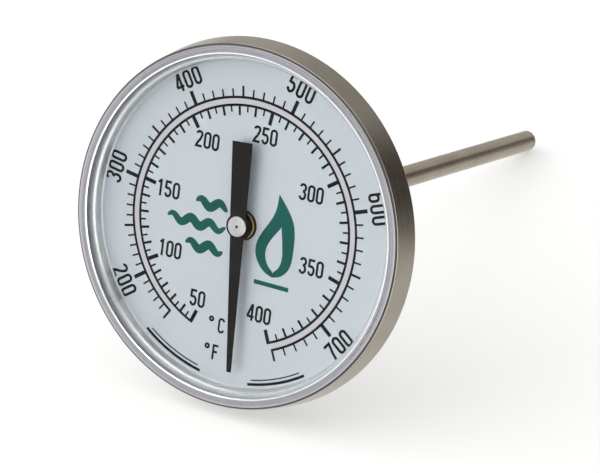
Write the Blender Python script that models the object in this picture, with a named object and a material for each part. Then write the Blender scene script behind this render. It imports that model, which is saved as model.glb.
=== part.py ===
"""Dial meat thermometer: a round stainless head with a glass front, on a long thin stem.

Metres, +Z up. The stem's axis is the Y axis: the dial faces -Y, its 12 o'clock is +Z, and the
stem runs to +Y. The origin is on that axis, on the flat back of the head, where the head seats.
Every turned piece is drawn as an (r, y) outline: distance from the axis, and place along it.
"""

import math

import bmesh
import bpy

# Driving dimensions: a 3 inch head on a 5 inch stem of 3/16 inch.
HEAD_RADIUS = 0.0381
FRONT_RADIUS = 0.0372
HEAD_DEPTH = 0.0121
STEM_RADIUS = 0.00238
STEM_LENGTH = 0.1235
NUT_ACROSS_FLATS = 0.0111

# Clearance between pieces that touch, and running clearance of a turning shaft.
GAP = 0.0002
RUNNING = 0.0001

# Facets of a full turn, on the head's large rings and on the small turned pieces.
LARGE_FACETS = 64
SMALL_FACETS = 20

# The head, from front to back.
SHEET = 0.0005
LIP_SHEET = 0.0003
LIP_WIDTH = 0.0021
LENS_THICKNESS = 0.0012
DIAL_DEPTH = 0.00445
DIAL_SHEET = 0.0004
FRONT_Y = -HEAD_DEPTH
LENS_FRONT_Y = FRONT_Y + LIP_SHEET + GAP
LENS_BACK_Y = LENS_FRONT_Y + LENS_THICKNESS
DIAL_Y = FRONT_Y + DIAL_DEPTH
FLANGE_Y = DIAL_Y + DIAL_SHEET + 0.0005
CRIMP_Y = FLANGE_Y + SHEET + GAP
LENS_RADIUS = FRONT_RADIUS - SHEET - 0.0007
PAN_RADIUS = HEAD_RADIUS - 0.0037
PAN_CORNER = 0.003
BACK_HOLE = 0.0042
RECESS_RADIUS = 0.0082
RECESS_DEPTH = 0.0004
RECESS_SLOPE = 0.0006

# The dished dial and the hole that the top bearing stands in.
DIAL_FLAT = 0.03325
DIAL_FILLET = 0.00055
DIAL_ROLL = 0.0008
DIAL_HOLE = 0.0032

# The turning joint between head and stem.
NECK_RADIUS = 0.0031
NECK_TOP_Y = -0.005
NECK_END_Y = 0.007
TUBE_TOP_Y = 0.0012
TUBE_WALL = 0.00038
TUBE_BORE = STEM_RADIUS - TUBE_WALL
BUSH_TOP_Y = -0.0022
CLIP_Y = -0.0036
CLIP_SHEET = 0.0004
WASHER_END_Y = 0.0011
NUT_Y = WASHER_END_Y + GAP
NUT_LENGTH = 0.006

# The bimetal drive inside the stem.
SHAFT_RADIUS = 0.00045
SHAFT_BORE = SHAFT_RADIUS + RUNNING
GUIDE_LENGTH = 0.003
GUIDE_PLACES = {"upper_guide": 0.010, "middle_guide": 0.043, "lower_guide": 0.076}
COLLAR_Y = 0.0805
COLLAR_LENGTH = 0.002
COIL_Y = COLLAR_Y + COLLAR_LENGTH + GAP
COIL_LENGTH = 0.033
COIL_TURNS = 16
COIL_RADIUS = 0.0014
COIL_STRIP = (0.0003, 0.0008)
COIL_FACETS = 10
ANCHOR_Y = COIL_Y + COIL_LENGTH + GAP
ANCHOR_LENGTH = 0.0022
PLUG_Y = ANCHOR_Y + ANCHOR_LENGTH + GAP

# The pointer, which reads clockwise from 12 o'clock and hangs near 6 o'clock when cold.
POINTER_REST = math.radians(175.8)
POINTER_TIP = 0.0303
POINTER_TAIL = 0.0173
TIP_WIDTH = 0.001
ARM_WIDTH = 0.0031
NECK_WIDTH = 0.0036
TAIL_WIDTH = 0.0046
BLADE_Y = DIAL_Y - 0.0023
BLADE_SHEET = 0.0003
HUB_RADIUS = 0.0026
CAP_RADIUS = 0.0021
CAP_TOP_Y = LENS_BACK_Y + 0.00015
BEARING_HEAD_Y = DIAL_Y - 0.0007
BEARING_RADIUS = 0.0029

# name: (colour, metallic, roughness)
FINISHES = {
    "brushed_bezel": ((0.60, 0.58, 0.57), 1.0, 0.32),
    "case_steel": ((0.50, 0.47, 0.44), 1.0, 0.38),
    "lens_glass": ((0.95, 0.97, 0.97), 0.0, 0.03),
    "seal_rubber": ((0.03, 0.03, 0.03), 0.0, 0.70),
    "dial_aluminium": ((0.66, 0.70, 0.74), 0.6, 0.45),
    "stem_steel": ((0.56, 0.53, 0.48), 1.0, 0.30),
    "turned_steel": ((0.58, 0.56, 0.54), 1.0, 0.35),
    "spring_steel": ((0.40, 0.39, 0.38), 1.0, 0.40),
    "brass": ((0.62, 0.47, 0.22), 1.0, 0.35),
    "bimetal": ((0.52, 0.44, 0.33), 1.0, 0.40),
    "shaft_steel": ((0.62, 0.62, 0.62), 1.0, 0.25),
    "pointer_black": ((0.02, 0.02, 0.02), 0.0, 0.45),
    "cap_silver": ((0.80, 0.80, 0.80), 1.0, 0.25),
}


def clear_scene():
    for thing in list(bpy.data.objects):
        bpy.data.objects.remove(thing)


def finish_of(name):
    """The named Principled material, made the first time it is asked for."""
    material = bpy.data.materials.get(name)
    if material:
        return material
    colour, metallic, roughness = FINISHES[name]
    material = bpy.data.materials.new(name)
    material.use_nodes = True
    shader = material.node_tree.nodes["Principled BSDF"]
    shader.inputs["Base Color"].default_value = (*colour, 1.0)
    shader.inputs["Metallic"].default_value = metallic
    shader.inputs["Roughness"].default_value = roughness
    material.diffuse_color = (*colour, 1.0)
    return material


def group(name, turn=0.0):
    """An empty on the stem's axis, which the pieces of one moving body hang from."""
    empty = bpy.data.objects.new(name, None)
    empty.rotation_euler.y = turn
    bpy.context.scene.collection.objects.link(empty)
    return empty


def piece(name, mesh_edit, finish, parent):
    """A closed mesh as one named object: its faces turned outwards and its round sides smooth."""
    bmesh.ops.remove_doubles(mesh_edit, verts=mesh_edit.verts, dist=1e-7)
    bmesh.ops.recalc_face_normals(mesh_edit, faces=mesh_edit.faces)
    mesh = bpy.data.meshes.new(name)
    mesh_edit.to_mesh(mesh)
    mesh_edit.free()
    mesh.shade_smooth()
    mesh.set_sharp_from_angle(angle=math.radians(35))
    mesh.materials.append(finish_of(finish))
    made = bpy.data.objects.new(name, mesh)
    made.parent = parent
    bpy.context.scene.collection.objects.link(made)
    return made


def arc(centre_r, centre_y, radius, start, end, steps=3):
    """Points of an outline's rounded corner: 0 degrees points outwards, 90 towards the tip."""
    angles = [math.radians(start + (end - start) * i / steps) for i in range(steps + 1)]
    return [(centre_r + radius * math.cos(a), centre_y + radius * math.sin(a)) for a in angles]


def turned(name, outline, finish, parent, facets=SMALL_FACETS):
    """Spins a closed (r, y) outline about the axis. Points at r = 0 close the piece on it."""
    mesh_edit = bmesh.new()
    points = [mesh_edit.verts.new((r, y, 0.0)) for r, y in outline]
    edges = [mesh_edit.edges.new((a, b)) for a, b in zip(points, points[1:] + points[:1])
             if a.co.x > 0 or b.co.x > 0]
    bmesh.ops.spin(mesh_edit, geom=points + edges, cent=(0, 0, 0), axis=(0, 1, 0),
                   angle=2 * math.pi, steps=facets)
    return piece(name, mesh_edit, finish, parent)


def tube_outline(inside, outside, start, end):
    return [(inside, start), (outside, start), (outside, end), (inside, end)]


def extruded(name, outline, start, end, finish, parent, hole=None):
    """A flat (x, z) outline given thickness along Y, with a round hole through it on the axis."""
    mesh_edit = bmesh.new()
    rim = [mesh_edit.verts.new((x, start, z)) for x, z in outline]
    edges = [mesh_edit.edges.new((a, b)) for a, b in zip(rim, rim[1:] + rim[:1])]
    if hole:
        ring = [mesh_edit.verts.new((hole * math.sin(a), start, hole * math.cos(a)))
                for a in facet_angles(SMALL_FACETS)]
        edges += [mesh_edit.edges.new((a, b)) for a, b in zip(ring, ring[1:] + ring[:1])]
    bmesh.ops.triangle_fill(mesh_edit, edges=edges, use_beauty=True)
    flat = list(mesh_edit.faces)
    raised = bmesh.ops.extrude_face_region(mesh_edit, geom=flat, use_keep_orig=True)
    moved = [v for v in raised["geom"] if isinstance(v, bmesh.types.BMVert)]
    bmesh.ops.translate(mesh_edit, verts=moved, vec=(0, end - start, 0))
    return piece(name, mesh_edit, finish, parent)


def facet_angles(count):
    return [2 * math.pi * i / count for i in range(count)]


def band_inside(y):
    """Inner radius of the band, which flares evenly from the front to the crimp."""
    share = (y - FRONT_Y) / (CRIMP_Y - FRONT_Y)
    return FRONT_RADIUS + share * (HEAD_RADIUS - FRONT_RADIUS) - SHEET


def bezel_ring(head):
    """Rolled ring: a narrow lip over the glass, the side band, and the crimp behind the flange."""
    corner = 0.0004
    lip_inside = FRONT_RADIUS - LIP_WIDTH
    lip_back = FRONT_Y + LIP_SHEET
    crimp_inside = PAN_RADIUS + 0.0011
    back = CRIMP_Y + SHEET
    outline = [(lip_inside, FRONT_Y + 0.0001), (lip_inside + 0.0003, FRONT_Y)]
    outline += arc(FRONT_RADIUS - corner, FRONT_Y + corner, corner, -90, 0, 3)
    outline += arc(HEAD_RADIUS - SHEET, back - SHEET, SHEET, 0, 90, 3)
    outline += [(crimp_inside, back), (crimp_inside, CRIMP_Y), (band_inside(CRIMP_Y), CRIMP_Y)]
    outline += arc(band_inside(lip_back) - corner, lip_back + corner, corner, 0, -90, 3)
    outline += [(lip_inside, lip_back)]
    return turned("bezel_ring", outline, "brushed_bezel", head, LARGE_FACETS)


def lens(head):
    chamfer = 0.0003
    outline = [(0, LENS_FRONT_Y), (LENS_RADIUS - chamfer, LENS_FRONT_Y),
               (LENS_RADIUS, LENS_FRONT_Y + chamfer), (LENS_RADIUS, LENS_BACK_Y - chamfer),
               (LENS_RADIUS - chamfer, LENS_BACK_Y), (0, LENS_BACK_Y)]
    return turned("lens", outline, "lens_glass", head, LARGE_FACETS)


def lens_gasket(head):
    """Rubber ring between the edge of the glass and the band."""
    outline = tube_outline(LENS_RADIUS + GAP, band_inside(FRONT_Y) - GAP,
                           LENS_FRONT_Y + 0.0004, LENS_BACK_Y)
    return turned("lens_gasket", outline, "seal_rubber", head, LARGE_FACETS)


def dial_plate(head):
    """Dished sheet: a flat face, a short wall, and a brim rolled over for the glass to rest on."""
    floor_y = DIAL_Y - DIAL_FILLET
    wall = DIAL_FLAT + DIAL_FILLET
    brim_y = LENS_BACK_Y + GAP
    brim = band_inside(brim_y) - GAP
    roll_r, roll_y = wall + DIAL_ROLL, brim_y + DIAL_ROLL
    outline = [(DIAL_HOLE, DIAL_Y)]
    outline += arc(DIAL_FLAT, floor_y, DIAL_FILLET, 90, 0)
    outline += arc(roll_r, roll_y, DIAL_ROLL, 180, 270)
    outline += [(brim, brim_y), (brim, brim_y + DIAL_SHEET)]
    outline += arc(roll_r, roll_y, DIAL_ROLL - DIAL_SHEET, 270, 180)
    outline += arc(DIAL_FLAT, floor_y, DIAL_FILLET + DIAL_SHEET, 0, 90)
    outline += [(DIAL_HOLE, DIAL_Y + DIAL_SHEET)]
    return turned("dial_plate", outline, "dial_aluminium", head, LARGE_FACETS)


def case_shell(head):
    """Drawn pan: a flange that the bezel grips, a wall, and a back pressed in at its middle."""
    inner = PAN_CORNER - SHEET
    flange = band_inside(FLANGE_Y) - GAP
    outline = [(flange, FLANGE_Y), (flange, FLANGE_Y + SHEET), (PAN_RADIUS, FLANGE_Y + SHEET)]
    outline += arc(PAN_RADIUS - PAN_CORNER, -PAN_CORNER, PAN_CORNER, 0, 90, 4)
    outline += [(RECESS_RADIUS + RECESS_SLOPE, 0), (RECESS_RADIUS, -RECESS_DEPTH),
                (BACK_HOLE, -RECESS_DEPTH), (BACK_HOLE, -RECESS_DEPTH - SHEET),
                (RECESS_RADIUS, -RECESS_DEPTH - SHEET), (RECESS_RADIUS + RECESS_SLOPE, -SHEET)]
    outline += arc(PAN_RADIUS - PAN_CORNER, -PAN_CORNER, inner, 90, 0, 4)
    outline += [(PAN_RADIUS - SHEET, FLANGE_Y)]
    return turned("case_shell", outline, "case_steel", head, LARGE_FACETS)


def case_bushing(head):
    """Flanged brass sleeve in the back of the case, which the neck turns in."""
    sleeve = BACK_HOLE - GAP
    flange_radius = 0.007
    seat_y = -RECESS_DEPTH - SHEET - GAP
    flange_y = seat_y - SHEET
    outline = [(NECK_RADIUS + RUNNING, BUSH_TOP_Y), (sleeve, BUSH_TOP_Y), (sleeve, flange_y),
               (flange_radius, flange_y), (flange_radius, seat_y), (sleeve, seat_y),
               (sleeve, -RECESS_DEPTH), (NECK_RADIUS + RUNNING, -RECESS_DEPTH)]
    return turned("case_bushing", outline, "brass", head)


def friction_washer(stem):
    """Dished spring washer under the clip: it sets how hard the head turns on the stem."""
    sheet = 0.00025
    low_y = BUSH_TOP_Y - GAP
    high_y = CLIP_Y + CLIP_SHEET + GAP
    outline = [(NECK_RADIUS + GAP, high_y), (0.0055, low_y - sheet), (0.0055, low_y),
               (NECK_RADIUS + GAP, high_y + sheet)]
    return turned("friction_washer", outline, "spring_steel", stem)


def c_outline(inside, outside, opening):
    """A ring in the (x, z) plane, open at the bottom by the given angle."""
    steps = SMALL_FACETS
    angles = [-math.pi + opening / 2 + (2 * math.pi - opening) * i / steps
              for i in range(steps + 1)]
    outer = [(outside * math.sin(a), outside * math.cos(a)) for a in angles]
    inner = [(inside * math.sin(a), inside * math.cos(a)) for a in reversed(angles)]
    return outer + inner


def retaining_clip(stem):
    outline = c_outline(NECK_RADIUS - 0.0002, 0.005, math.radians(70))
    return extruded("retaining_clip", outline, CLIP_Y, CLIP_Y + CLIP_SHEET, "spring_steel", stem)


def stem_neck(stem):
    """Turned neck: grooved for the clip inside the case, bored to hold the tube at its far end."""
    groove = NECK_RADIUS - 0.0005
    socket = STEM_RADIUS + GAP
    bore = 0.0016
    outline = [(bore, NECK_TOP_Y), (NECK_RADIUS - GAP, NECK_TOP_Y),
               (NECK_RADIUS, NECK_TOP_Y + GAP), (NECK_RADIUS, CLIP_Y - GAP),
               (groove, CLIP_Y - GAP), (groove, CLIP_Y + CLIP_SHEET + GAP),
               (NECK_RADIUS, CLIP_Y + CLIP_SHEET + GAP), (NECK_RADIUS, NECK_END_Y),
               (socket, NECK_END_Y), (socket, TUBE_TOP_Y - GAP), (bore, TUBE_TOP_Y - GAP)]
    return turned("stem_neck", outline, "turned_steel", stem)


def seal_washer(stem):
    outline = tube_outline(NECK_RADIUS + GAP, 0.0053, GAP - RECESS_DEPTH, WASHER_END_Y)
    return turned("seal_washer", outline, "seal_rubber", stem)


def calibration_nut(stem):
    """Hexagon with chamfered ends, fixed to the stem: a spanner holds it to reset the dial."""
    corner = NUT_ACROSS_FLATS / math.sqrt(3)
    outline = [(corner * math.sin(a), corner * math.cos(a)) for a in facet_angles(6)]
    nut = extruded("calibration_nut", outline, NUT_Y, NUT_Y + NUT_LENGTH, "turned_steel", stem,
                   hole=NECK_RADIUS + GAP)
    chamfer_hexagon(nut.data, corner, 0.0005)
    return nut


def chamfer_hexagon(mesh, corner, chamfer):
    """Rounds the six corners off at both ends, as a lathe does."""
    mesh_edit = bmesh.new()
    mesh_edit.from_mesh(mesh)
    middle = NUT_Y + NUT_LENGTH / 2
    rims = [edge for edge in mesh_edit.edges
            if len(edge.link_faces) == 2 and edge.calc_face_angle() > 1.0
            and all(math.hypot(v.co.x, v.co.z) > corner - 1e-6 for v in edge.verts)
            and abs(edge.verts[0].co.y - edge.verts[1].co.y) < 1e-6
            and abs(edge.verts[0].co.y - middle) > NUT_LENGTH / 4]
    bmesh.ops.bevel(mesh_edit, geom=rims, offset=chamfer, segments=1, affect="EDGES")
    mesh_edit.to_mesh(mesh)
    mesh_edit.free()


def stem_tube(stem):
    end = STEM_LENGTH - STEM_RADIUS / 2 - GAP
    outline = tube_outline(TUBE_BORE, STEM_RADIUS, TUBE_TOP_Y, end)
    return turned("stem_tube", outline, "stem_steel", stem)


def tip_plug(stem):
    """Plug welded into the end of the tube, with a rounded nose."""
    shoulder = STEM_LENGTH - STEM_RADIUS / 2
    nose = 0.0009
    outline = [(0, PLUG_Y), (TUBE_BORE - GAP, PLUG_Y), (TUBE_BORE - GAP, shoulder),
               (STEM_RADIUS, shoulder)]
    outline += arc(STEM_RADIUS - nose, STEM_LENGTH - nose, nose, 0, 90, 4)
    outline += [(0, STEM_LENGTH)]
    return turned("tip_plug", outline, "stem_steel", stem)


def top_bearing(stem):
    """Brass bearing in the top of the neck, whose head shows through the hole in the dial."""
    under_head = NECK_TOP_Y - GAP
    outline = [(SHAFT_BORE, BEARING_HEAD_Y), (BEARING_RADIUS - GAP, BEARING_HEAD_Y),
               (BEARING_RADIUS, BEARING_HEAD_Y + GAP), (BEARING_RADIUS, under_head),
               (0.0014, under_head), (0.0014, -0.001), (SHAFT_BORE, -0.001)]
    return turned("top_bearing", outline, "brass", stem)


def shaft_guides(stem):
    """Brass discs in the tube that keep the long shaft central."""
    for name, start in GUIDE_PLACES.items():
        outline = tube_outline(SHAFT_BORE, TUBE_BORE - GAP, start, start + GUIDE_LENGTH)
        turned(name, outline, "brass", stem)


def bimetal_coil(stem):
    """The helical strip that winds as it warms: a flat section carried along a helix."""
    depth, width = COIL_STRIP
    rise = (COIL_LENGTH - width) / COIL_TURNS
    section = [(-depth / 2, 0), (depth / 2, 0), (depth / 2, width), (-depth / 2, width)]
    mesh_edit = bmesh.new()
    rings = []
    for i in range(COIL_TURNS * COIL_FACETS + 1):
        angle = 2 * math.pi * i / COIL_FACETS
        along = COIL_Y + rise * i / COIL_FACETS
        rings.append([mesh_edit.verts.new(((COIL_RADIUS + r) * math.sin(angle), along + y,
                                           (COIL_RADIUS + r) * math.cos(angle)))
                      for r, y in section])
    for here, there in zip(rings, rings[1:]):
        for side in range(4):
            after = (side + 1) % 4
            mesh_edit.faces.new((here[side], here[after], there[after], there[side]))
    mesh_edit.faces.new(rings[0])
    mesh_edit.faces.new(reversed(rings[-1]))
    return piece("bimetal_coil", mesh_edit, "bimetal", stem)


def coil_anchor(stem):
    """Disc fixed in the tube that holds the coil's cold end."""
    outline = [(0, ANCHOR_Y), (TUBE_BORE - GAP, ANCHOR_Y),
               (TUBE_BORE - GAP, ANCHOR_Y + ANCHOR_LENGTH), (0, ANCHOR_Y + ANCHOR_LENGTH)]
    return turned("coil_anchor", outline, "brass", stem)


def pointer_shaft(pointer_group):
    outline = [(0, CAP_TOP_Y + 0.0003), (SHAFT_RADIUS, CAP_TOP_Y + 0.0003),
               (SHAFT_RADIUS, COIL_Y + 0.001), (0, COIL_Y + 0.001)]
    return turned("pointer_shaft", outline, "shaft_steel", pointer_group)


def coil_collar(pointer_group):
    """Collar on the shaft that the coil's moving end is welded to."""
    outline = tube_outline(SHAFT_RADIUS + GAP / 2, 0.0015, COLLAR_Y, COLLAR_Y + COLLAR_LENGTH)
    return turned("coil_collar", outline, "brass", pointer_group)


def pointer_collar(pointer_group):
    """Brass collar pressed on the shaft, which the blade is staked to."""
    outline = tube_outline(SHAFT_RADIUS + GAP / 2, 0.0016,
                           BLADE_Y + BLADE_SHEET + GAP, BEARING_HEAD_Y - GAP)
    return turned("pointer_collar", outline, "brass", pointer_group)


def pointer_outline():
    """Clockwise (x, z) outline of the blade, drawn with its reading tip at +Z."""
    def hub_edge(half_width):
        return math.sqrt(HUB_RADIUS ** 2 - half_width ** 2)

    def hub_arc(start, end, steps=4):
        return [(HUB_RADIUS * math.sin(start + (end - start) * i / steps),
                 HUB_RADIUS * math.cos(start + (end - start) * i / steps))
                for i in range(1, steps)]

    arm, neck = ARM_WIDTH / 2, NECK_WIDTH / 2
    arm_angle = math.asin(arm / HUB_RADIUS)
    neck_angle = math.pi - math.asin(neck / HUB_RADIUS)
    right = [(TIP_WIDTH / 2, POINTER_TIP), (arm, hub_edge(arm))]
    right += hub_arc(arm_angle, neck_angle)
    right += [(neck, -hub_edge(neck)), (TAIL_WIDTH / 2, -POINTER_TAIL)]
    return right + [(-x, z) for x, z in reversed(right)]


def pointer(pointer_group):
    return extruded("pointer", pointer_outline(), BLADE_Y, BLADE_Y + BLADE_SHEET,
                    "pointer_black", pointer_group, hole=SHAFT_RADIUS + GAP)


def pointer_cap(pointer_group):
    """Turned cap over the shaft's end, with a dimple in its middle."""
    back = BLADE_Y - GAP
    bore = SHAFT_RADIUS + GAP / 2
    outline = [(0, CAP_TOP_Y + 0.0001), (0.0003, CAP_TOP_Y), (CAP_RADIUS - 0.0002, CAP_TOP_Y),
               (CAP_RADIUS, CAP_TOP_Y + 0.0001), (CAP_RADIUS, back), (bore, back),
               (bore, CAP_TOP_Y + 0.0002), (0, CAP_TOP_Y + 0.0002)]
    return turned("pointer_cap", outline, "cap_silver", pointer_group)


def main():
    clear_scene()
    head = group("head_group")
    for make in (bezel_ring, lens, lens_gasket, dial_plate, case_shell, case_bushing):
        make(head)
    stem = group("stem_group")
    for make in (friction_washer, retaining_clip, stem_neck, seal_washer, calibration_nut,
                 stem_tube, tip_plug, top_bearing, shaft_guides, bimetal_coil, coil_anchor):
        make(stem)
    pointer_group = group("pointer_group", POINTER_REST)
    for make in (pointer_shaft, coil_collar, pointer_collar, pointer, pointer_cap):
        make(pointer_group)


main()
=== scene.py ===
"""Looks of the dial meat thermometer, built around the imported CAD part.

Metres, in the part's own frame: the stem's axis is Y, the dial faces -Y and its 12 o'clock is +Z.
Turned pieces are drawn as (r, y) outlines. Print on the dial is drawn as (x, z) shapes in units
of the Fahrenheit ring's radius, and angles on the dial are clockwise from 12 o'clock.
"""

import math

import bmesh
import bpy
from mathutils import Matrix, Vector


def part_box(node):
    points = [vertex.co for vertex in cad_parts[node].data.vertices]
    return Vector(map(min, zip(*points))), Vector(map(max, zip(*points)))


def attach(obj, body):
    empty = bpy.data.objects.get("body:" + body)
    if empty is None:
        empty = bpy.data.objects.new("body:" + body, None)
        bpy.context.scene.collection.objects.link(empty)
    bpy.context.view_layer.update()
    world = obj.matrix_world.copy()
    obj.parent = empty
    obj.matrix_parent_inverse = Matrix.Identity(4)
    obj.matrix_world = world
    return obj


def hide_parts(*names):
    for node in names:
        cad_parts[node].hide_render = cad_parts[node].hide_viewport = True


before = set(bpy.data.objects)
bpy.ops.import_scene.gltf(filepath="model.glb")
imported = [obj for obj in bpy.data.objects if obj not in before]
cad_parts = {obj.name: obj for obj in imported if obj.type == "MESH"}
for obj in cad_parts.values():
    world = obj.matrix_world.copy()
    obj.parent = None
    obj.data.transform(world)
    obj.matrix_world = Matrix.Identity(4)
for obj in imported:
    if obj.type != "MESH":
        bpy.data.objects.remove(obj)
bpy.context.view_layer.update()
MM = 0.001

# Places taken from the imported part.
BEZEL_LOW, BEZEL_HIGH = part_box("bezel_ring")
LENS_LOW, LENS_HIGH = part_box("lens")
DIAL_LOW, DIAL_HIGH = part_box("dial_plate")
CASE_LOW, CASE_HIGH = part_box("case_shell")
TUBE_LOW, TUBE_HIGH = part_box("stem_tube")
PLUG_LOW, PLUG_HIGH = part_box("tip_plug")
NECK_LOW, NECK_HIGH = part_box("stem_neck")
WASHER_LOW, WASHER_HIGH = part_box("seal_washer")
NUT_LOW, NUT_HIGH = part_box("calibration_nut")
BLADE_LOW, BLADE_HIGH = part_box("pointer")
CAP_LOW, CAP_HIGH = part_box("pointer_cap")
COLLAR_LOW, COLLAR_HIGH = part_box("pointer_collar")
BEARING_LOW, BEARING_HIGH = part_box("top_bearing")

# Sizes of the head that the boxes don't give.
SHEET = 0.5 * MM
LIP_SHEET = 0.3 * MM
LIP_WIDTH = 2.1 * MM
GROOVE_DEPTH = 0.6 * MM
# How far the groove's dark fill, which is painted shade, sits behind the lip's front.
SHADE_FILL_SETBACK = 0.2 * MM
BEAD_SETBACK = 0.35 * MM
BEAD_PROUD = 0.04 * MM
DIAL_SHEET = 0.4 * MM
HEAD_RADIUS = BEZEL_HIGH.x
FRONT_RADIUS = 37.2 * MM
GROOVE_INSIDE = FRONT_RADIUS - 0.35 * MM
GROOVE_OUTSIDE = FRONT_RADIUS - 0.1 * MM
FRONT_Y = BEZEL_LOW.y
BAND_BACK_Y = BEZEL_HIGH.y
DIAL_Y = DIAL_HIGH.y - DIAL_SHEET
DIAL_FLAT = 33.25 * MM
DIAL_FILLET = 0.55 * MM
DIAL_ROLL = 0.8 * MM
DIAL_HOLE = 3.2 * MM
PAN_CORNER = 3.0 * MM
BACK_HOLE = 4.2 * MM
PAN_RADIUS = 34.4 * MM
RECESS_RADIUS = 8.2 * MM
RECESS_DEPTH = 0.4 * MM
STEM_RADIUS = TUBE_HIGH.x
TIP_NOSE = 0.9 * MM
SHAFT_BORE = 0.55 * MM
POINTER_REST_DEGREES = 175.8

# The print: the Fahrenheit ring's radius, the end values of both scales, and the ink's height.
F_RADIUS = 26.0 * MM
F_RANGE = (150, 750)
C_RANGE = (50, 400)
INK = 0.02 * MM
INK_STEP = 0.002 * MM

# An angle on the dial is a cubic of the temperature's share of the way from the middle value.
SCALE_MIDDLE = 450
SCALE_HALF = 300
SCALE_CUBIC = (-7.956, 152.005, 13.104, -0.502)

# In units of the Fahrenheit ring's radius, as is all print.
LINE = 0.020
TICK = 0.014
MAJOR_TICK = 0.031
C_RING = 0.939
RING_STEP_DEGREES = 1.5

FINE_FACETS = 256
SMALL_FACETS = 96
SHARP_ANGLE = math.radians(35)


# Outlines and meshes

def arc(centre_r, centre_y, radius, start, end, steps=8):
    """Points of an outline's rounded corner: 0 degrees points outwards, 90 towards the tip."""
    angles = [math.radians(start + (end - start) * i / steps) for i in range(steps + 1)]
    return [(centre_r + radius * math.cos(a), centre_y + radius * math.sin(a)) for a in angles]


def held(outline, hold=0.06 * MM):
    """The outline with a point near both ends of each long side, so that flat sides shade flat."""
    points = []
    for (r0, y0), (r1, y1) in zip(outline, outline[1:] + outline[:1]):
        points.append((r0, y0))
        length = math.hypot(r1 - r0, y1 - y0)
        if length > 4 * hold:
            for share in (hold / length, 1 - hold / length):
                points.append((r0 + (r1 - r0) * share, y0 + (y1 - y0) * share))
    return points


def spun(outline, facets):
    """The solid swept by a closed (r, y) outline about the stem's axis."""
    mesh_edit = bmesh.new()
    rings = []
    for r, y in outline:
        count = facets if r > 1e-9 else 1
        rings.append([mesh_edit.verts.new((r * math.cos(2 * math.pi * i / facets), y,
                                           r * math.sin(2 * math.pi * i / facets)))
                      for i in range(count)])
    for here, there in zip(rings, rings[1:] + rings[:1]):
        if len(here) == 1 and len(there) == 1:
            continue
        for i in range(facets):
            after = (i + 1) % facets
            corners = [here[i % len(here)], here[after % len(here)],
                       there[after % len(there)], there[i % len(there)]]
            mesh_edit.faces.new(list(dict.fromkeys(corners)))
    return mesh_edit


def finished(name, mesh_edit, material, body, replaces=()):
    """A mesh as one named piece that rides on a CAD body and may stand for CAD nodes."""
    bmesh.ops.recalc_face_normals(mesh_edit, faces=mesh_edit.faces)
    mesh = bpy.data.meshes.new(name)
    mesh_edit.to_mesh(mesh)
    mesh_edit.free()
    mesh.shade_smooth()
    mesh.set_sharp_from_angle(angle=SHARP_ANGLE)
    mesh.materials.append(material)
    piece = bpy.data.objects.new(name, mesh)
    bpy.context.scene.collection.objects.link(piece)
    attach(piece, body)
    if replaces:
        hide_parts(*replaces)
    return piece


def turned(name, outline, material, body, replaces, facets=SMALL_FACETS):
    return finished(name, spun(held(outline), facets), material, body, replaces)


# Materials

def put(material, socket, value):
    """Links another node's output to an input, or sets the input's own value."""
    if isinstance(value, bpy.types.NodeSocket):
        material.node_tree.links.new(value, socket)
    else:
        socket.default_value = value


def add(material, kind, settings=None, **inputs):
    """A node with its properties set, and its inputs set or linked. _ stands for a space."""
    node = material.node_tree.nodes.new(kind)
    for key, value in (settings or {}).items():
        setattr(node, key, value)
    for key, value in inputs.items():
        put(material, node.inputs[key.replace("_", " ")], value)
    return node


def calculated(material, operation, first, second=0.0):
    """The output of a Math node on two numbers or sockets."""
    node = add(material, "ShaderNodeMath", {"operation": operation})
    for socket, value in zip(node.inputs, (first, second)):
        put(material, socket, value)
    return node.outputs[0]


def weighted(material, *pairs):
    """The sum of (value, weight) pairs, each value times its weight."""
    terms = [calculated(material, "MULTIPLY", value, weight) for value, weight in pairs]
    total = terms[0]
    for term in terms[1:]:
        total = calculated(material, "ADD", total, term)
    return total


def remapped(material, value, low, high, from_low=0.3, from_high=0.7):
    """A noise value moved from its usual spread to the range from low to high."""
    node = add(material, "ShaderNodeMapRange", Value=value, From_Min=from_low,
               From_Max=from_high, To_Min=low, To_Max=high)
    return node.outputs[0]


# Where the Mix node keeps its share and its two colours, and the mixed colour.
MIX_SHARE, MIX_FIRST, MIX_SECOND = 0, 6, 7
MIXED_COLOUR = 2


def blended(material, share, first, second):
    """A colour between two linear RGB colours or sockets."""
    node = add(material, "ShaderNodeMix", {"data_type": "RGBA"})
    for index, value in ((MIX_SHARE, share), (MIX_FIRST, first), (MIX_SECOND, second)):
        put(material, node.inputs[index], (*value, 1.0) if isinstance(value, tuple) else value)
    return node.outputs[MIXED_COLOUR]


def toned(material, tone, dark, light):
    """A colour that goes from dark to light as a noise value goes through its usual spread."""
    return blended(material, remapped(material, tone, 0.0, 1.0), dark, light)


def noise(material, vector, scale, detail=3.0, roughness=0.55):
    node = add(material, "ShaderNodeTexNoise", Vector=vector, Scale=scale, Detail=detail,
               Roughness=roughness)
    return node.outputs["Fac"]


def principled(name, metallic, roughness, **fixed):
    """A material with a Principled shader. Numbers that hold everywhere are set on its sockets."""
    material = bpy.data.materials.new(name)
    material.use_nodes = True
    shader = material.node_tree.nodes["Principled BSDF"]
    shader.inputs["Metallic"].default_value = metallic
    shader.inputs["Roughness"].default_value = roughness
    for key, value in fixed.items():
        shader.inputs[key.replace("_", " ")].default_value = value
    return material, shader


def feed(material, shader, **sources):
    for key, socket in sources.items():
        material.node_tree.links.new(socket, shader.inputs[key.replace("_", " ")])


def object_place(material):
    return add(material, "ShaderNodeTexCoord").outputs["Object"]


def object_xyz(material):
    return add(material, "ShaderNodeSeparateXYZ", Vector=object_place(material)).outputs


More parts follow.
